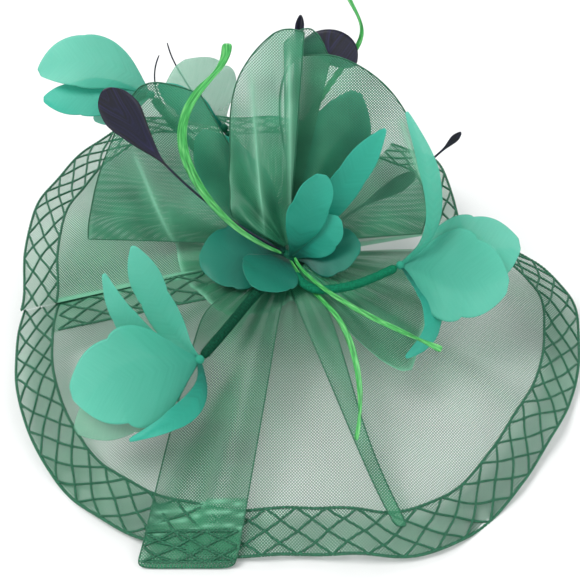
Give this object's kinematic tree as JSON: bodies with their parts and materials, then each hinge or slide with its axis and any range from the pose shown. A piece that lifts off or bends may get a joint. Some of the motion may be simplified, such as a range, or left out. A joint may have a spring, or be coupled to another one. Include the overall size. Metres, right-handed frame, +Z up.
{
  "type": "fascinator headpiece",
  "caption": "Wide fascinator hat of gathered green crin mesh with a lattice border, feather petal flowers on wired stems, dark feathers, split quills and a sprung hair clip.",
  "frame": {"origin": "centre of the felt pad's underside, where it sits on the hair", "axes": "+Z up out of the crown, -Y to the wearer's front, +X to the wearer's left"},
  "size_m": [0.5033, 0.495, 0.2691],
  "materials": {
    "felt": "dense wool felt",
    "buckram": "stiffened open weave",
    "thread": "wound polyester thread",
    "clip_steel": "nickel plated spring steel",
    "crin_mesh": "translucent nylon mesh",
    "crin_lattice": "nylon mesh with a diamond net of thick shiny thread",
    "petal": "translucent stripped feather, satin",
    "chenille": "short velvet pile on wire",
    "black_feather": "glossy barbs with a blue sheen",
    "lime_quill": "waxy split quill"
  },
  "bodies": {
    "headpiece": {"brim_back_left_border": "crin_lattice", "brim_back_left_mesh": "crin_mesh", "brim_back_right_border": "crin_lattice", "brim_back_right_mesh": "crin_mesh", "brim_front_border": "crin_lattice", "brim_front_mesh": "crin_mesh", "buckram_disc": "buckram", "centre_binding": "thread", "clip_hinge_pin": "clip_steel", "clip_spring": "clip_steel", "clip_stitches": "thread", "clip_upper_jaw": "clip_steel", "fan_back": "crin_mesh", "fan_centre": "crin_mesh", "fan_left": "crin_mesh", "fan_right": "crin_mesh", "feather_far": "black_feather", "feather_left": "black_feather", "feather_right": "black_feather", "feather_tips": "black_feather", "feather_top": "black_feather", "feather_upright": "black_feather", "felt_base_pad": "felt", "lower_left_stem": "chenille", "middle_left_stem": "chenille", "petal_behind_left": "petal", "petal_behind_right": "petal", "petal_front": "petal", "petal_lance": "petal", "petal_left": "petal", "petal_low_right": "petal", "petal_pale_right": "petal", "petal_twin": "petal", "quill_front": "lime_quill", "quill_left": "lime_quill", "quill_right": "lime_quill", "quill_top": "lime_quill", "right_stem": "chenille", "tail_left": "crin_mesh", "tail_right": "crin_mesh", "upper_left_stem": "chenille"},
    "right_flower": {"right_neck": "thread", "right_petal_behind": "petal", "right_petal_front": "petal", "right_petal_small": "petal", "right_petal_tall": "petal"},
    "lower_left_flower": {"lower_left_neck": "thread", "lower_left_petal_big": "petal", "lower_left_petal_pale": "petal", "lower_left_petal_point": "petal", "lower_left_petal_ragged": "petal", "lower_left_petal_upright": "petal"},
    "upper_left_flower": {"upper_left_neck": "thread", "upper_left_petal_large": "petal", "upper_left_petal_sheer": "petal", "upper_left_petal_small": "petal"},
    "middle_left_flower": {"middle_left_neck": "thread", "middle_left_petal_band": "petal", "middle_left_petal_round": "petal"},
    "clip_jaw": {"clip_lower_jaw": "clip_steel"}
  },
  "joints": [
    {"name": "clip_jaw_open", "type": "hinge", "parent": "headpiece", "child": "clip_jaw", "pos_m": [0.005, 0, -0.0042], "axis": [0, -1, 0], "range_deg": [0, 24], "stiffness_Nm_per_rad": 0.04, "springref_deg": -28.65},
    {"name": "right_flower_tilt", "type": "hinge", "parent": "headpiece", "child": "right_flower", "pos_m": [0.093, -0.025, 0.026], "axis": [0, 1, 0], "range_deg": [-12, 12]},
    {"name": "lower_left_flower_tilt", "type": "hinge", "parent": "headpiece", "child": "lower_left_flower", "pos_m": [-0.067, -0.121, 0.018], "axis": [0.8742, -0.4856, 0], "range_deg": [-12, 12]},
    {"name": "upper_left_flower_tilt", "type": "hinge", "parent": "headpiece", "child": "upper_left_flower", "pos_m": [-0.118, 0.1, 0.109], "axis": [0.2983, 0.9545, 0], "range_deg": [-12, 12]},
    {"name": "middle_left_flower_tilt", "type": "hinge", "parent": "headpiece", "child": "middle_left_flower", "pos_m": [-0.055, 0.08, 0.089], "axis": [0.6097, 0.7926, 0], "range_deg": [-6, 6]}
  ]
}
